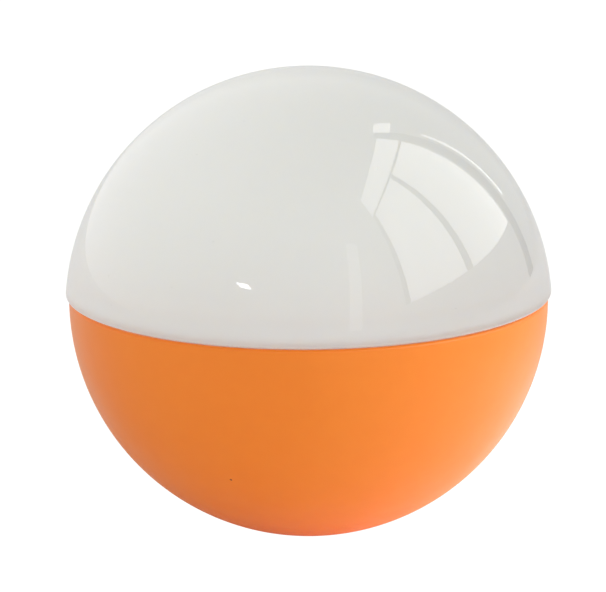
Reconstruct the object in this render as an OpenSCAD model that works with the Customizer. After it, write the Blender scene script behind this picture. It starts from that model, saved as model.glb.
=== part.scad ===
// Friction ball for opening screw-on watch case backs, in its round storage case.
// The case is an opaque base and a clear lid that plugs into it, and the tacky
// ball nearly fills it. Units are millimetres and +Z is up. The origin is the
// middle of the flat foot that the case stands on, and +Z is the axis of symmetry.

/* [Case] */
// Largest diameter of the closed case, across the lid's rim
case_d = 70; // [50:1:90]
// Height of the lid above the seam, as a share of the case's radius
lid_rise_share = 0.925; // [0.8:0.005:0.97]
// How far the lid's rim overhangs the base's rim all round
rim_overhang = 0.5; // [0:0.1:0.6]
// Straight part of the base's wall between its round bottom and the seam
collar_h = 0.9; // [0.7:0.1:4]
// Wall thickness of the base and the lid
wall = 1.5; // [1.4:0.1:2.5]
// Diameter of the flat foot under the base
foot_d = 12; // [8:1:14]

/* [Plug fit] */
// Depth that the lid's spigot goes into the base
spigot_h = 3; // [2:0.5:5]
// Radial clearance between the spigot and the base's rebate
fit_clear = 0.05; // [0.03:0.01:0.1]
// Gap that shows between the two rims when the lid is home
seam_gap = 0.3; // [0.1:0.05:0.4]
// Radius on the outer edges of the two rims
rim_round = 0.5; // [0.2:0.1:0.5]

/* [Ball] */
// Space left over and under the ball in the closed case
ball_end_clear = 0.35; // [0.3:0.05:2]
// Space left between the ball's widest part and the case
ball_side_clear = 0.5; // [0.5:0.1:3]

/* [Hidden] */
$fn = 96;
PAST = 1; // how far a cutting solid runs past the solid that it cuts

rim_r = case_d / 2;
base_r = rim_r - rim_overhang;
bore_r = base_r - wall;
rebate_r = (base_r + bore_r) / 2;
spigot_r = rebate_r - fit_clear;
lead_in = 0.2;

// Heights above the foot
base_centre_z = sqrt(pow(base_r, 2) - pow(foot_d / 2, 2));
seam_z = base_centre_z + collar_h;
ledge_z = seam_z - spigot_h;
lid_rise = rim_r * lid_rise_share;
top_z = seam_z + lid_rise;
lid_sphere_r = (pow(rim_r, 2) + pow(lid_rise, 2)) / (2 * lid_rise);
lid_centre_z = top_z - lid_sphere_r;

// The ball is soft, so it settles a little wider than it is tall
MOST_SETTLED = 1.03; // its width over its height, at most
BALL_RAISE = 0.07; // its middle's height above the middle of the space it lies in
BALL_STEPS = 60;
cavity_low_z = base_centre_z - bore_r;
cavity_high_z = top_z - wall;
ball_half_h = (cavity_high_z - cavity_low_z) / 2 - ball_end_clear;
ball_half_w = min(bore_r - ball_side_clear, ball_half_h * MOST_SETTLED);
ball_centre_z = (cavity_high_z + cavity_low_z) / 2 + BALL_RAISE;
ball_outline = [for (i = [0 : BALL_STEPS])
    let (a = -90 + 180 * i / BALL_STEPS) [ball_half_w * cos(a), ball_half_h * sin(a)]];

// The ring that is cut away to round the outer edge of a rim of radius r. The
// edge is at height 0, and the wall is above it for side 1 and below it for side -1.
module edge_cutter(r, side) {
    mirror([0, 0, side > 0 ? 0 : 1]) rotate_extrude() difference() {
        translate([r - rim_round, -PAST]) square([rim_round + PAST, rim_round + PAST]);
        translate([r - rim_round, rim_round]) circle(r = rim_round);
    }
}

module case_base() {
    rim_z = seam_z - seam_gap;
    color("darkorange") difference() {
        union() {
            translate([0, 0, base_centre_z]) cylinder(r = base_r, h = rim_z - base_centre_z);
            intersection() {
                translate([0, 0, base_centre_z]) sphere(r = base_r);
                cylinder(r = base_r + PAST, h = base_centre_z);
            }
        }
        translate([0, 0, base_centre_z]) sphere(r = bore_r);
        translate([0, 0, base_centre_z]) cylinder(r = bore_r, h = collar_h + PAST);
        translate([0, 0, ledge_z]) cylinder(r = rebate_r, h = spigot_h + PAST);
        translate([0, 0, rim_z]) edge_cutter(base_r, -1);
    }
}

module case_lid() {
    color([0.87, 0.88, 0.85, 0.35]) difference() {
        union() {
            intersection() {
                translate([0, 0, lid_centre_z]) sphere(r = lid_sphere_r);
                translate([0, 0, seam_z]) cylinder(r = rim_r + PAST, h = lid_rise + PAST);
            }
            translate([0, 0, ledge_z + lead_in])
                cylinder(r = spigot_r, h = spigot_h - lead_in + PAST);
            translate([0, 0, ledge_z])
                cylinder(r1 = spigot_r - lead_in, r2 = spigot_r, h = lead_in);
        }
        intersection() {
            translate([0, 0, lid_centre_z]) sphere(r = lid_sphere_r - wall);
            translate([0, 0, ledge_z - PAST]) cylinder(r = bore_r, h = top_z);
        }
        translate([0, 0, seam_z]) edge_cutter(rim_r, 1);
    }
}

module friction_ball() {
    color([0.87, 0.87, 0.84])
        translate([0, 0, ball_centre_z]) rotate_extrude() polygon(ball_outline);
}

case_base();
case_lid();
friction_ball();
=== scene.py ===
import math

import bmesh
import bpy
from mathutils import Matrix, Vector, noise

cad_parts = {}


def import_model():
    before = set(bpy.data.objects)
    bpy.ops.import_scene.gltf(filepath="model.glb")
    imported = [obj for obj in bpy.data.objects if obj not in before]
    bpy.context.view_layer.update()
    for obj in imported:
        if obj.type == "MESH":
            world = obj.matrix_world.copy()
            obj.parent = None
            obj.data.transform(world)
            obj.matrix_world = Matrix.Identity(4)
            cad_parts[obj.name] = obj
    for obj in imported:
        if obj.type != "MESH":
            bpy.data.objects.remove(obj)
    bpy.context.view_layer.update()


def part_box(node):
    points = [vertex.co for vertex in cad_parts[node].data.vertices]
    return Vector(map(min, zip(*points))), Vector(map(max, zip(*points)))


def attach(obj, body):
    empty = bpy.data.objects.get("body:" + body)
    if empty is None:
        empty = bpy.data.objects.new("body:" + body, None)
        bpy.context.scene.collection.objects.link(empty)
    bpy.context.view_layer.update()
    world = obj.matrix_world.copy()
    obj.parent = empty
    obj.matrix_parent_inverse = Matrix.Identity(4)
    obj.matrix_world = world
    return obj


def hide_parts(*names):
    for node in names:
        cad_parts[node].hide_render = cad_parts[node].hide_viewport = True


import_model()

# ---------------------------------------------------------------- sizes, metres
# The case and the ball, worked out from the frame's boxes and the few
# dimensions that a box doesn't show.
RIM_OVERHANG = 0.0005       # the lid's rim past the base's rim
WALL = 0.0015
COLLAR_H = 0.0009           # straight part of the base's wall under the seam
SEAM_GAP = 0.0003           # between the two rims
FIT_CLEAR = 0.00005         # between the spigot and the base's rebate
RIM_ROUND = 0.0005          # on the outer edges of the two rims
LEAD_IN = 0.0002            # on the lower outer edge of the spigot

# Small roundings that catch the light, as radii
FOOT_ROUND = 0.0006         # outer edge of the foot
RIM_INNER_ROUND = 0.00012   # inner edge of the base's rim
REBATE_ROUND = 0.00008      # corner at the bottom of the rebate
LEDGE_ROUND = 0.00018       # inner edge of the ledge that the spigot stands on
SPIGOT_ROOT_ROUND = 0.00015
SPIGOT_END_ROUND = 0.0002   # lower inner edge of the spigot
LID_INSIDE_ROUND = 0.010    # where the spigot's bore runs into the dome

# The ball's surface
RIDGE_H = 0.00009           # height of the parting line
RIDGE_HALF_W = 0.00035
DENT_SIZE = 0.011
DENT_DEPTH = 0.00012
CLING_DEPTH = 0.00015       # how far the gel goes into the lid's inside, so no air is left between
CLING_RUN = 0.0012          # height over which the gel closes up to the lid's spigot

base_low, base_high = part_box("case_base")
lid_low, lid_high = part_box("case_lid")
ball_low, ball_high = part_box("friction_ball")

base_r = base_high.x
bore_r = base_r - WALL
rebate_r = (base_r + bore_r) / 2
spigot_r = rebate_r - FIT_CLEAR
rim_z = base_high.z
seam_z = rim_z + SEAM_GAP
base_centre_z = seam_z - COLLAR_H
foot_r = math.sqrt(base_r ** 2 - base_centre_z ** 2)
ledge_z = lid_low.z

rim_r = base_r + RIM_OVERHANG
top_z = lid_high.z
lid_rise = top_z - seam_z
lid_sphere_r = (rim_r ** 2 + lid_rise ** 2) / (2 * lid_rise)
lid_centre_z = top_z - lid_sphere_r

ball_half_w = ball_high.x
ball_half_h = (ball_high.z - ball_low.z) / 2
ball_centre_z = (ball_high.z + ball_low.z) / 2

SEGMENTS = 288              # steps round each turned piece
SMALL = 1e-6


# ---------------------------------------------------------------- mesh helpers
def arc(centre_z, radius, start, end, steps):
    """Points (r, z) on an arc about the axis, from one angle above the horizontal to another."""
    points = []
    for i in range(steps + 1):
        a = math.radians(start + (end - start) * i / steps)
        points.append((max(radius * math.cos(a), 0.0), centre_z + radius * math.sin(a)))
    return points


def straight(start, end, steps):
    """Points along a straight line, without its two ends."""
    (r0, z0), (r1, z1) = start, end
    return [(r0 + (r1 - r0) * i / steps, z0 + (z1 - z0) * i / steps) for i in range(1, steps)]


def fillet(before, corner, after, radius, steps):
    """The arc of that radius that rounds the corner between two straight runs."""
    c = Vector(corner)
    u = (Vector(before) - c).normalized()
    v = (Vector(after) - c).normalized()
    half = u.angle(v) / 2
    bisector = (u + v).normalized()
    centre = c + bisector * (radius / math.sin(half))
    first = c + u * (radius / math.tan(half)) - centre
    last = c + v * (radius / math.tan(half)) - centre
    turn = first.angle_signed(last)
    points = []
    for i in range(steps + 1):
        p = centre + Matrix.Rotation(-turn * i / steps, 2) @ first
        points.append((p.x, p.y))
    return points


def turned(name, outline, material, body, node):
    """A closed solid turned about Z from a loop of (r, z) points whose ends lie on the axis."""
    mesh = bmesh.new()
    rings = []
    for r, z in outline:
        if r < SMALL:
            rings.append([mesh.verts.new((0, 0, z))])
            continue
        rings.append([mesh.verts.new((r * math.cos(2 * math.pi * i / SEGMENTS),
                                      r * math.sin(2 * math.pi * i / SEGMENTS), z))
                      for i in range(SEGMENTS)])
    for one, two in zip(rings, rings[1:]):
        for i in range(SEGMENTS):
            j = (i + 1) % SEGMENTS
            if len(one) == 1:
                mesh.faces.new((one[0], two[j], two[i]))
            elif len(two) == 1:
                mesh.faces.new((one[i], one[j], two[0]))
            else:
                mesh.faces.new((one[i], one[j], two[j], two[i]))
    bmesh.ops.recalc_face_normals(mesh, faces=mesh.faces)
    for face in mesh.faces:
        face.smooth = True
    data = bpy.data.meshes.new(name)
    mesh.to_mesh(data)
    mesh.free()
    piece = bpy.data.objects.new(name, data)
    bpy.context.scene.collection.objects.link(piece)
    data.materials.append(material)
    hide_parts(node)
    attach(piece, body)
    return piece


# ---------------------------------------------------------------- node helpers
class Nodes:
    """Builds one material's node tree, with object coordinates in metres."""

    def __init__(self, name):
        self.material = bpy.data.materials.new(name)
        self.material.use_nodes = True
        self.tree = self.material.node_tree
        self.shader = self.tree.nodes["Principled BSDF"]
        self.place = self.tree.nodes.new("ShaderNodeTexCoord").outputs["Object"]

    def link(self, value, socket):
        if isinstance(value, bpy.types.NodeSocket):
            self.tree.links.new(value, socket)
        else:
            socket.default_value = value

    def set(self, **values):
        for name, value in values.items():
            self.link(value, self.shader.inputs[name.replace("_", " ")])

    def noise(self, size, detail=2.0, roughness=0.5, distortion=0.0, place=None):
        """Noise from 0 to 1 whose blotches are about that size, in metres."""
        n = self.tree.nodes.new("ShaderNodeTexNoise")
        self.link(place or self.place, n.inputs["Vector"])
        n.inputs["Scale"].default_value = 0.5 / size
        n.inputs["Detail"].default_value = detail
        n.inputs["Roughness"].default_value = roughness
        n.inputs["Distortion"].default_value = distortion
        return n.outputs["Fac"]

    def cells(self, size):
        """Distance to the nearest of a scatter of points, in cells of that size."""
        n = self.tree.nodes.new("ShaderNodeTexVoronoi")
        self.link(self.place, n.inputs["Vector"])
        n.inputs["Scale"].default_value = 1 / size
        return n.outputs["Distance"]

    def ramp(self, value, low, high, to_low=0.0, to_high=1.0):
        """A smooth step from one value to another as the input goes from low to high."""
        n = self.tree.nodes.new("ShaderNodeMapRange")
        n.interpolation_type = "SMOOTHSTEP"
        self.link(value, n.inputs["Value"])
        n.inputs["From Min"].default_value = low
        n.inputs["From Max"].default_value = high
        n.inputs["To Min"].default_value = to_low
        n.inputs["To Max"].default_value = to_high
        return n.outputs["Result"]

    def math(self, operation, one, two):
        n = self.tree.nodes.new("ShaderNodeMath")
        n.operation = operation
        self.link(one, n.inputs[0])
        self.link(two, n.inputs[1])
        return n.outputs[0]

    def mix(self, share, one, two):
        n = self.tree.nodes.new("ShaderNodeMix")
        n.data_type = "RGBA"
        self.link(share, n.inputs["Factor"])
        self.link(one, n.inputs["A"])
        self.link(two, n.inputs["B"])
        return n.outputs["Result"]

    def along(self, axis):
        """The coordinate along X, Y or Z, in metres."""
        n = self.tree.nodes.new("ShaderNodeSeparateXYZ")
        self.link(self.place, n.inputs[0])
        return n.outputs[axis]

    def distance_to(self, point):
        n = self.tree.nodes.new("ShaderNodeVectorMath")
        n.operation = "DISTANCE"
        self.link(self.place, n.inputs[0])
        n.inputs[1].default_value = point
        return n.outputs["Value"]

    def stretched(self, scale):
        """Coordinates that draw a pattern out along the axes with a small scale."""
        n = self.tree.nodes.new("ShaderNodeMapping")
        self.link(self.place, n.inputs["Vector"])
        n.inputs["Scale"].default_value = scale
        return n.outputs["Vector"]

    def bump(self, *layers):
        """Surface height from (value, depth in metres) layers."""
        normal = None
        for value, depth in layers:
            n = self.tree.nodes.new("ShaderNodeBump")
            n.inputs["Strength"].default_value = 1.0
            n.inputs["Distance"].default_value = depth
            self.link(value, n.inputs["Height"])
            if normal:
                self.link(normal, n.inputs["Normal"])
            normal = n.outputs["Normal"]
        return normal


def colour(r, g, b):
    return (r, g, b, 1.0)


def milky(nodes, weight, radius, scale):
    """Lets light spread under the surface, by that scale in metres times each colour's radius."""
    nodes.shader.inputs["Subsurface Weight"].default_value = weight
    nodes.shader.inputs["Subsurface Radius"].default_value = radius
    nodes.shader.inputs["Subsurface Scale"].default_value = scale


# ---------------------------------------------------------------- materials
# The dark speck on the front of the base: its place in degrees round from the
# front and up from the middle, and its size in metres.
SPECK_ROUND = -22.7
SPECK_UP = -34.9
SPECK_CORE = 0.00010
SPECK_EDGE = 0.00022
SPECK_RAGGED = 8e-5

FROST = 0.08                # roughness of the spigot
FROST_RUN = 0.0001          # height over which it clears above the seam


def base_plastic():
    """Satin moulded orange plastic: faint flow marks, a fine grain, and one dark speck."""
    n = Nodes("base_plastic")
    flow = n.ramp(n.noise(0.022, 3, place=n.stretched((1, 1, 0.45))), 0.35, 0.65)
    orange = n.mix(flow, colour(0.935, 0.232, 0.012), colour(0.955, 0.250, 0.019))
    mottle = n.ramp(n.noise(0.0012, 2), 0.3, 0.7, 0, 0.10)
    orange = n.mix(mottle, orange, colour(0.87, 0.188, 0.012))
    round_by, up_by = math.radians(SPECK_ROUND), math.radians(SPECK_UP)
    speck_at = (base_r * math.sin(round_by) * math.cos(up_by),
                -base_r * math.cos(round_by) * math.cos(up_by),
                base_centre_z + base_r * math.sin(up_by))
    ragged = n.math("ADD", n.distance_to(speck_at),
                    n.ramp(n.noise(0.0002), 0.3, 0.7, -SPECK_RAGGED, SPECK_RAGGED))
    speck = n.ramp(ragged, SPECK_CORE, SPECK_EDGE, 1, 0)
    orange = n.mix(speck, orange, colour(0.16, 0.035, 0.012))
    rubbed = n.math("MULTIPLY", n.ramp(n.along("Z"), 0.0, FOOT_ROUND, 1, 0), n.noise(0.0008, 3))
    rough = n.math("ADD", n.ramp(n.noise(0.006, 3), 0.3, 0.7, 0.33, 0.40),
                   n.math("MULTIPLY", rubbed, 0.3))
    n.set(Base_Color=orange, Roughness=rough, IOR=1.42,
          Normal=n.bump((n.noise(0.009, 2), 0.00006), (n.noise(0.00035, 2), 0.0000035)))
    milky(n, 0.12, (1.0, 0.35, 0.12), 0.0015)
    return n.material


def lid_plastic():
    """Clear polished plastic: mould ripples, hairline scuffs, and a faintly frosted spigot."""
    n = Nodes("lid_plastic")
    tint = n.mix(n.ramp(n.noise(0.02, 2), 0.35, 0.65),
                 colour(0.985, 0.988, 0.975), colour(0.995, 0.995, 0.990))
    hair = n.noise(0.0009, 2, 0.6, 0.8, place=n.stretched((1, 0.05, 1)))
    patch = n.ramp(n.noise(0.011, 2), 0.56, 0.66)
    scuff = n.math("MULTIPLY", n.ramp(hair, 0.70, 0.74), patch)
    frosted = n.ramp(n.along("Z"), seam_z, seam_z + FROST_RUN, FROST, 0)
    rough = n.math("ADD", n.ramp(scuff, 0, 1, 0.0, 0.12), frosted)
    n.set(Base_Color=tint, Roughness=rough, IOR=1.5, Transmission_Weight=1.0,
          Normal=n.bump((n.noise(0.016, 1), 0.00006), (scuff, 0.000002)))
    return n.material


def tacky_gel():
    """Milky off-white gel: cloudy patches, tiny bubbles, and a few specks of lint."""
    n = Nodes("tacky_gel")
    cloud = n.ramp(n.noise(0.016, 3, 0.55, 0.6), 0.35, 0.65)
    milk = n.mix(cloud, colour(0.958, 0.961, 0.930), colour(0.978, 0.981, 0.955))
    bubbles = n.ramp(n.cells(0.0032), 0.05, 0.085, 1, 0)
    sparse = n.ramp(n.noise(0.009, 2), 0.52, 0.60)
    bubbles = n.math("MULTIPLY", bubbles, sparse)
    milk = n.mix(n.math("MULTIPLY", bubbles, 0.35), milk, colour(0.985, 0.986, 0.965))
    lint = n.ramp(n.noise(0.00045, 1, 0.5, 2.0), 0.80, 0.84)
    milk = n.mix(n.math("MULTIPLY", lint, 0.5), milk, colour(0.35, 0.33, 0.30))
    rough = n.ramp(n.noise(0.007, 3), 0.3, 0.7, 0.28, 0.40)
    n.set(Base_Color=milk, Roughness=rough, IOR=1.47,
          Normal=n.bump((n.noise(0.010, 2), 0.00010), (bubbles, 0.00004),
                        (n.noise(0.0008, 2), 0.000003)))
    milky(n, 1.0, (1.0, 0.95, 0.85), 0.0015)
    return n.material


# ---------------------------------------------------------------- the pieces
def base_outline():
    """From the middle of the foot, up the outside, over the rim and down the inside."""
    arc_start_z = 0.00025       # where the bowl's arc takes over from the foot's rounding
    arc_end_z = ledge_z - 0.0004
    foot_middle, foot_edge = (0.0, 0.0), (foot_r, 0.0)
    rim_outer, rim_inner = (base_r, rim_z), (rebate_r, rim_z)
    rebate_foot, ledge_edge = (rebate_r, ledge_z), (bore_r, ledge_z)
    below_ledge = (bore_r, base_centre_z - 0.002)
    foot_angle = -math.degrees(math.acos(foot_r / base_r))
    bowl = arc(base_centre_z, base_r, foot_angle, 0, 110)
    outline = [foot_middle] + straight(foot_middle, foot_edge, 8)
    outline += fillet(foot_middle, foot_edge, bowl[1], FOOT_ROUND, 7)
    outline += [p for p in bowl if p[1] > arc_start_z]
    outline += straight((base_r, base_centre_z), (base_r, rim_z - RIM_ROUND), 4)
    outline += fillet((base_r, base_centre_z), rim_outer, rim_inner, RIM_ROUND * 0.85, 10)
    outline += fillet(rim_outer, rim_inner, rebate_foot, RIM_INNER_ROUND, 5)
    outline += straight(rim_inner, rebate_foot, 4)
    outline += fillet(rim_inner, rebate_foot, ledge_edge, REBATE_ROUND, 4)
    outline += fillet(rebate_foot, ledge_edge, below_ledge, LEDGE_ROUND, 6)
    inside = arc(base_centre_z, bore_r, 0, -90, 100)
    return outline + [p for p in inside if p[1] < arc_end_z]


def lid_outline():
    """From the top of the dome down the outside, round the spigot, and up the inside."""
    rim_angle = math.degrees(math.asin((seam_z - lid_centre_z) / lid_sphere_r))
    dome = arc(lid_centre_z, lid_sphere_r, 90, rim_angle, 120)
    rim_edge, spigot_root = (rim_r, seam_z), (spigot_r, seam_z)
    spigot_outer, spigot_inner = (spigot_r, ledge_z), (bore_r, ledge_z)
    outline = [p for p in dome if p[1] > seam_z + RIM_ROUND]
    outline += fillet(dome[-4], rim_edge, spigot_root, RIM_ROUND * 0.9, 12)
    outline += fillet(rim_edge, spigot_root, spigot_outer, SPIGOT_ROOT_ROUND, 5)
    outline += straight(spigot_root, spigot_outer, 4)
    outline += fillet(spigot_root, spigot_outer, spigot_inner, LEAD_IN, 6)
    outline += fillet(spigot_outer, spigot_inner, (bore_r, seam_z), SPIGOT_END_ROUND, 6)
    inner_r = lid_sphere_r - WALL
    meet_z = lid_centre_z + math.sqrt(inner_r ** 2 - bore_r ** 2)
    blend_half = 0.0012         # how far the rounding reaches over and under where they meet
    meet_angle = math.degrees(math.asin((meet_z - lid_centre_z) / inner_r))
    inside = arc(lid_centre_z, inner_r, meet_angle, 90, 110)
    outline += straight(spigot_inner, (bore_r, meet_z - blend_half), 8)[1:]
    outline += fillet(spigot_inner, (bore_r, meet_z), inside[2], LID_INSIDE_ROUND, 8)
    return outline + [p for p in inside if p[1] > meet_z + blend_half]


def clinging(r, z):
    """Moves a point of the ball out to the lid's inside, which the tacky gel sticks to."""
    angle = math.atan2(z - lid_centre_z, r)
    reach = lid_sphere_r - WALL
    if math.cos(angle) > bore_r / reach:
        reach = bore_r / math.cos(angle)
    share = min(max((z - ledge_z) / CLING_RUN, 0.0), 1.0)
    reach = (reach + CLING_DEPTH) * share + math.hypot(r, z - lid_centre_z) * (1 - share)
    return reach * math.cos(angle), lid_centre_z + reach * math.sin(angle)


def ball_outline():
    """The settled ball from its underside to its top, with a parting line round its middle."""
    ridge_steps, cap_steps = 8, 110
    heights = [RIDGE_HALF_W * 1.6 * i / ridge_steps for i in range(-ridge_steps, ridge_steps + 1)]
    edge = math.degrees(math.asin(heights[-1] / ball_half_h))
    angles = [-90 + (90 - edge) * i / cap_steps for i in range(cap_steps)]
    angles += [math.degrees(math.asin(h / ball_half_h)) for h in heights]
    angles += [edge + (90 - edge) * i / cap_steps for i in range(1, cap_steps + 1)]
    outline = []
    for angle in angles:
        a = math.radians(angle)
        up = ball_half_h * math.sin(a)
        ridge = RIDGE_H * math.exp(-(up / RIDGE_HALF_W) ** 2 * 2)
        r, z = clinging((ball_half_w - RIDGE_H) * math.cos(a), ball_centre_z + up)
        outline.append((r + ridge if abs(angle) < 89.999 else 0.0, z))
    return outline


turned("case_base_shell", base_outline(), base_plastic(), "base", "case_base")
turned("case_lid_shell", lid_outline(), lid_plastic(), "lid", "case_lid")
ball = turned("gel_ball", ball_outline(), tacky_gel(), "ball", "friction_ball")


def dent(piece, size, depth):
    """Moves a soft piece's surface in by up to that depth, in soft hollows of that size."""
    middle = Vector((0, 0, ball_centre_z))
    for v in piece.data.vertices:
        out = (v.co - middle).normalized()
        hollow = 0.5 + 0.5 * noise.noise(v.co / size)
        v.co -= out * depth * hollow


dent(ball, DENT_SIZE, DENT_DEPTH)


# ---------------------------------------------------------------- studio
# Distances are in metres from the axis of the case.
WORLD_LIGHT = 0.51
# Each swell's direction, the cosine of the angle it starts at, and what it adds in its middle
WORLD_SWELLS = [((-0.65, 0.75, 0.1), -0.1, 0.55), ((-0.2, -0.9, 0.35), -0.1, 0.33),
                ((0.95, -0.2, 0.1), 0.0, 0.27), ((0.03, 0.99, 0.1), 0.90, -0.22)]
TABLE_LIGHT = 1.05
TABLE_DEPTH = 0.0005        # how far the table is under the sheet
SHEET_HALF = 6.0
SHEET_SHADE = 0.80
SHEET_PAINTED_SHADOW = 0.72        # painted shadow: the sheet's colour under the left of the case, darker where the window's shadow falls
SHEET_PAINTED_WINDOW_LIGHT = 0.65           # painted pool of window light: the sheet's glow under the right of the case
WINDOW_LIGHT = 3.0          # the panes, which only shiny surfaces get light from
SIDE_LIGHT = 2.4            # the panel behind them, which only matt surfaces get light from
WINDOW_DISTANCE = 0.70
WINDOW_LAYER = 0.002        # from the panes to the bars, and from the bars to that panel
LAMP_LIGHT = 20.0
LAMP_DISTANCE = 1.4
STRIP_LIGHT = 1.8
STRIP_DISTANCE = 1.2


def glow(name, strength):
    n = Nodes(name)
    n.set(Base_Color=colour(0, 0, 0), Roughness=1.0, Emission_Color=colour(1.0, 1.0, 0.98),
          Emission_Strength=strength)
    return n.material


def panel(name, corners, material):
    """A flat four-cornered stage panel that lights and reflects, but isn't seen itself."""
    data = bpy.data.meshes.new(name)
    data.from_pydata([Vector(c) for c in corners], [], [(0, 1, 2, 3)])
    data.materials.append(material)
    piece = bpy.data.objects.new(name, data)
    bpy.context.scene.collection.objects.link(piece)
    piece.visible_camera = False
    piece.visible_transmission = False
    return piece


def upright(x, y0, y1, z0, z1):
    """Corners of an upright rectangle that faces the object from the right."""
    return [(x, y0, z0), (x, y1, z0), (x, y1, z1), (x, y0, z1)]


def window():
    """A soft window light on the right, with panes between dark bars."""
    d = WINDOW_DISTANCE
    lift = lid_centre_z
    sill, transom, head = 0.27 * d + lift, 1.68 * d + lift, 2.35 * d + lift
    bar_half = 0.03 * d
    bright = glow("stage_window_glow", WINDOW_LIGHT)
    dark = Nodes("stage_window_bars")
    dark.set(Base_Color=colour(0.03, 0.03, 0.03), Roughness=0.9)
    panes = [("near_low", -0.89, -0.13, sill, transom - bar_half),
             ("mid_low", -0.05, 0.72, sill, transom - bar_half),
             ("near_high", -0.98, 0.72, transom + bar_half, head),
             ("far_strip", 1.03, 1.09, 0.35 * d + lift, 1.3 * d + lift),
             ("far_high", 0.94, 1.30, 1.98 * d + lift, 2.55 * d + lift)]
    for name, y0, y1, z0, z1 in panes:
        pane = panel("stage_window_" + name, upright(d, y0 * d, y1 * d, z0, z1), bright)
        pane.visible_diffuse = False
    side = panel("stage_window_side",
                 upright(d + 2 * WINDOW_LAYER, -0.98 * d, 0.72 * d, 0.01, 1.5 * d),
                 glow("stage_window_side_glow", SIDE_LIGHT))
    side.visible_glossy = False
    bars = [("post", 0.76, 0.96, -0.05 * d + lift, 2.5 * d + lift),
            ("mullion", -0.13, -0.05, sill, transom),
            ("edge", -0.98, -0.89, sill, transom),
            ("transom", -0.98, 0.76, transom - bar_half, transom + bar_half)]
    for name, y0, y1, z0, z1 in bars:
        panel("stage_window_bar_" + name,
              upright(d + WINDOW_LAYER, y0 * d, y1 * d, z0, z1), dark.material)


def far_panel(name, distance, corners, strength):
    """A glowing panel whose corners are directions from the middle of the lid's dome."""
    lift = Vector((0, 0, lid_centre_z))
    panel(name, [Vector(c) * distance + lift for c in corners], glow(name + "_glow", strength))


def lamp():
    """A small bright lamp to the left of and behind the camera."""
    corners = [(-0.50, -0.78, 0.350), (-0.43, -0.82, 0.348),
               (-0.46, -0.79, 0.379), (-0.54, -0.75, 0.383)]
    far_panel("stage_lamp", LAMP_DISTANCE, corners, LAMP_LIGHT)


def strip():
    """A faint upright strip of light behind the camera."""
    corners = [(0.31, -0.95, 0.05), (0.40, -0.91, 0.05), (0.36, -0.67, 0.65), (0.28, -0.69, 0.66)]
    far_panel("stage_strip", STRIP_DISTANCE, corners, STRIP_LIGHT)


def floor():
    """A matt pale sheet under the case, with a painted shadow under its left and a painted pool of
    window light under its right, over a lit white table that is all the camera sees.
    """
    h = SHEET_HALF
    square = [(-h, -h), (h, -h), (h, h), (-h, h)]
    matt = Nodes("stage_sheet")
    # Painted shadow: the sheet's colour darkens round a point left of the case, where the window's
    # shadow falls.
    pale_with_painted_shadow = matt.ramp(matt.distance_to((-0.05, 0.0, 0.0)), 0.01, 0.07, SHEET_PAINTED_SHADOW, SHEET_SHADE)
    # Painted pool of window light: the sheet glows round a point right of the case.
    patch = matt.ramp(matt.distance_to((0.065, 0.0, 0.0)), 0.01, 0.09, SHEET_PAINTED_WINDOW_LIGHT, 0)
    matt.set(Base_Color=pale_with_painted_shadow, Roughness=0.8, Emission_Color=colour(1, 1, 0.99),
             Emission_Strength=patch)
    panel("stage_sheet", [(x, y, -SMALL) for x, y in square], matt.material)
    table = panel("stage_floor", [(x, y, -TABLE_DEPTH) for x, y in square],
                  glow("stage_floor_glow", TABLE_LIGHT))
    table.visible_camera = True


def world():
    """Soft light all round that swells from three sides, and is dimmer straight behind the case."""
    w = bpy.data.worlds.new("studio")
    w.use_nodes = True
    tree = w.node_tree
    direction = tree.nodes.new("ShaderNodeTexCoord").outputs["Generated"]
    total = None
    for toward, spread, amount in WORLD_SWELLS:
        facing = tree.nodes.new("ShaderNodeVectorMath")
        facing.operation = "DOT_PRODUCT"
        tree.links.new(direction, facing.inputs[0])
        facing.inputs[1].default_value = Vector(toward).normalized()
        swell = tree.nodes.new("ShaderNodeMapRange")
        swell.interpolation_type = "SMOOTHSTEP"
        tree.links.new(facing.outputs["Value"], swell.inputs["Value"])
        swell.inputs["From Min"].default_value = spread
        swell.inputs["From Max"].default_value = 1.0
        swell.inputs["To Max"].default_value = amount
        add = tree.nodes.new("ShaderNodeMath")
        add.inputs[0].default_value = WORLD_LIGHT
        if total:
            tree.links.new(total, add.inputs[0])
        tree.links.new(swell.outputs["Result"], add.inputs[1])
        total = add.outputs[0]
    background = tree.nodes["Background"]
    background.inputs["Color"].default_value = colour(1.0, 1.0, 0.99)
    tree.links.new(total, background.inputs["Strength"])
    bpy.context.scene.world = w


window()
lamp()
strip()
floor()
world()

# ---------------------------------------------------------------- camera
CAMERA_DISTANCE = 0.45
CAMERA_ELEVATION = math.radians(13.1)
CAMERA_ROLL = math.radians(-0.39)
CAMERA_LENS = 185.1         # millimetres, and so is the sensor
SENSOR_WIDTH = 36
LIGHT_BOUNCES = 48
SOFT_BOUNCES = 12
LOOK_AT = Vector((-0.0008, 0.0, 0.03407))

back = Vector((0, -math.cos(CAMERA_ELEVATION), math.sin(CAMERA_ELEVATION)))
camera_data = bpy.data.cameras.new("camera")
camera_data.sensor_width = SENSOR_WIDTH
camera_data.lens = CAMERA_LENS
camera_data.clip_start = 0.01
camera = bpy.data.objects.new("camera", camera_data)
bpy.context.scene.collection.objects.link(camera)
camera.rotation_mode = "QUATERNION"
camera.location = LOOK_AT + back * CAMERA_DISTANCE
level = (-back).to_track_quat("-Z", "Y")
camera.rotation_quaternion = level @ Matrix.Rotation(CAMERA_ROLL, 3, "Z").to_quaternion()
bpy.context.scene.camera = camera
bpy.context.scene.view_settings.view_transform = "Standard"

# Light has to find its way in through the clear lid and out again, sharp at each turn.
paths = bpy.context.scene.cycles
paths.blur_glossy = 0.0
paths.max_bounces = LIGHT_BOUNCES
paths.transmission_bounces = LIGHT_BOUNCES
paths.glossy_bounces = LIGHT_BOUNCES
paths.diffuse_bounces = SOFT_BOUNCES
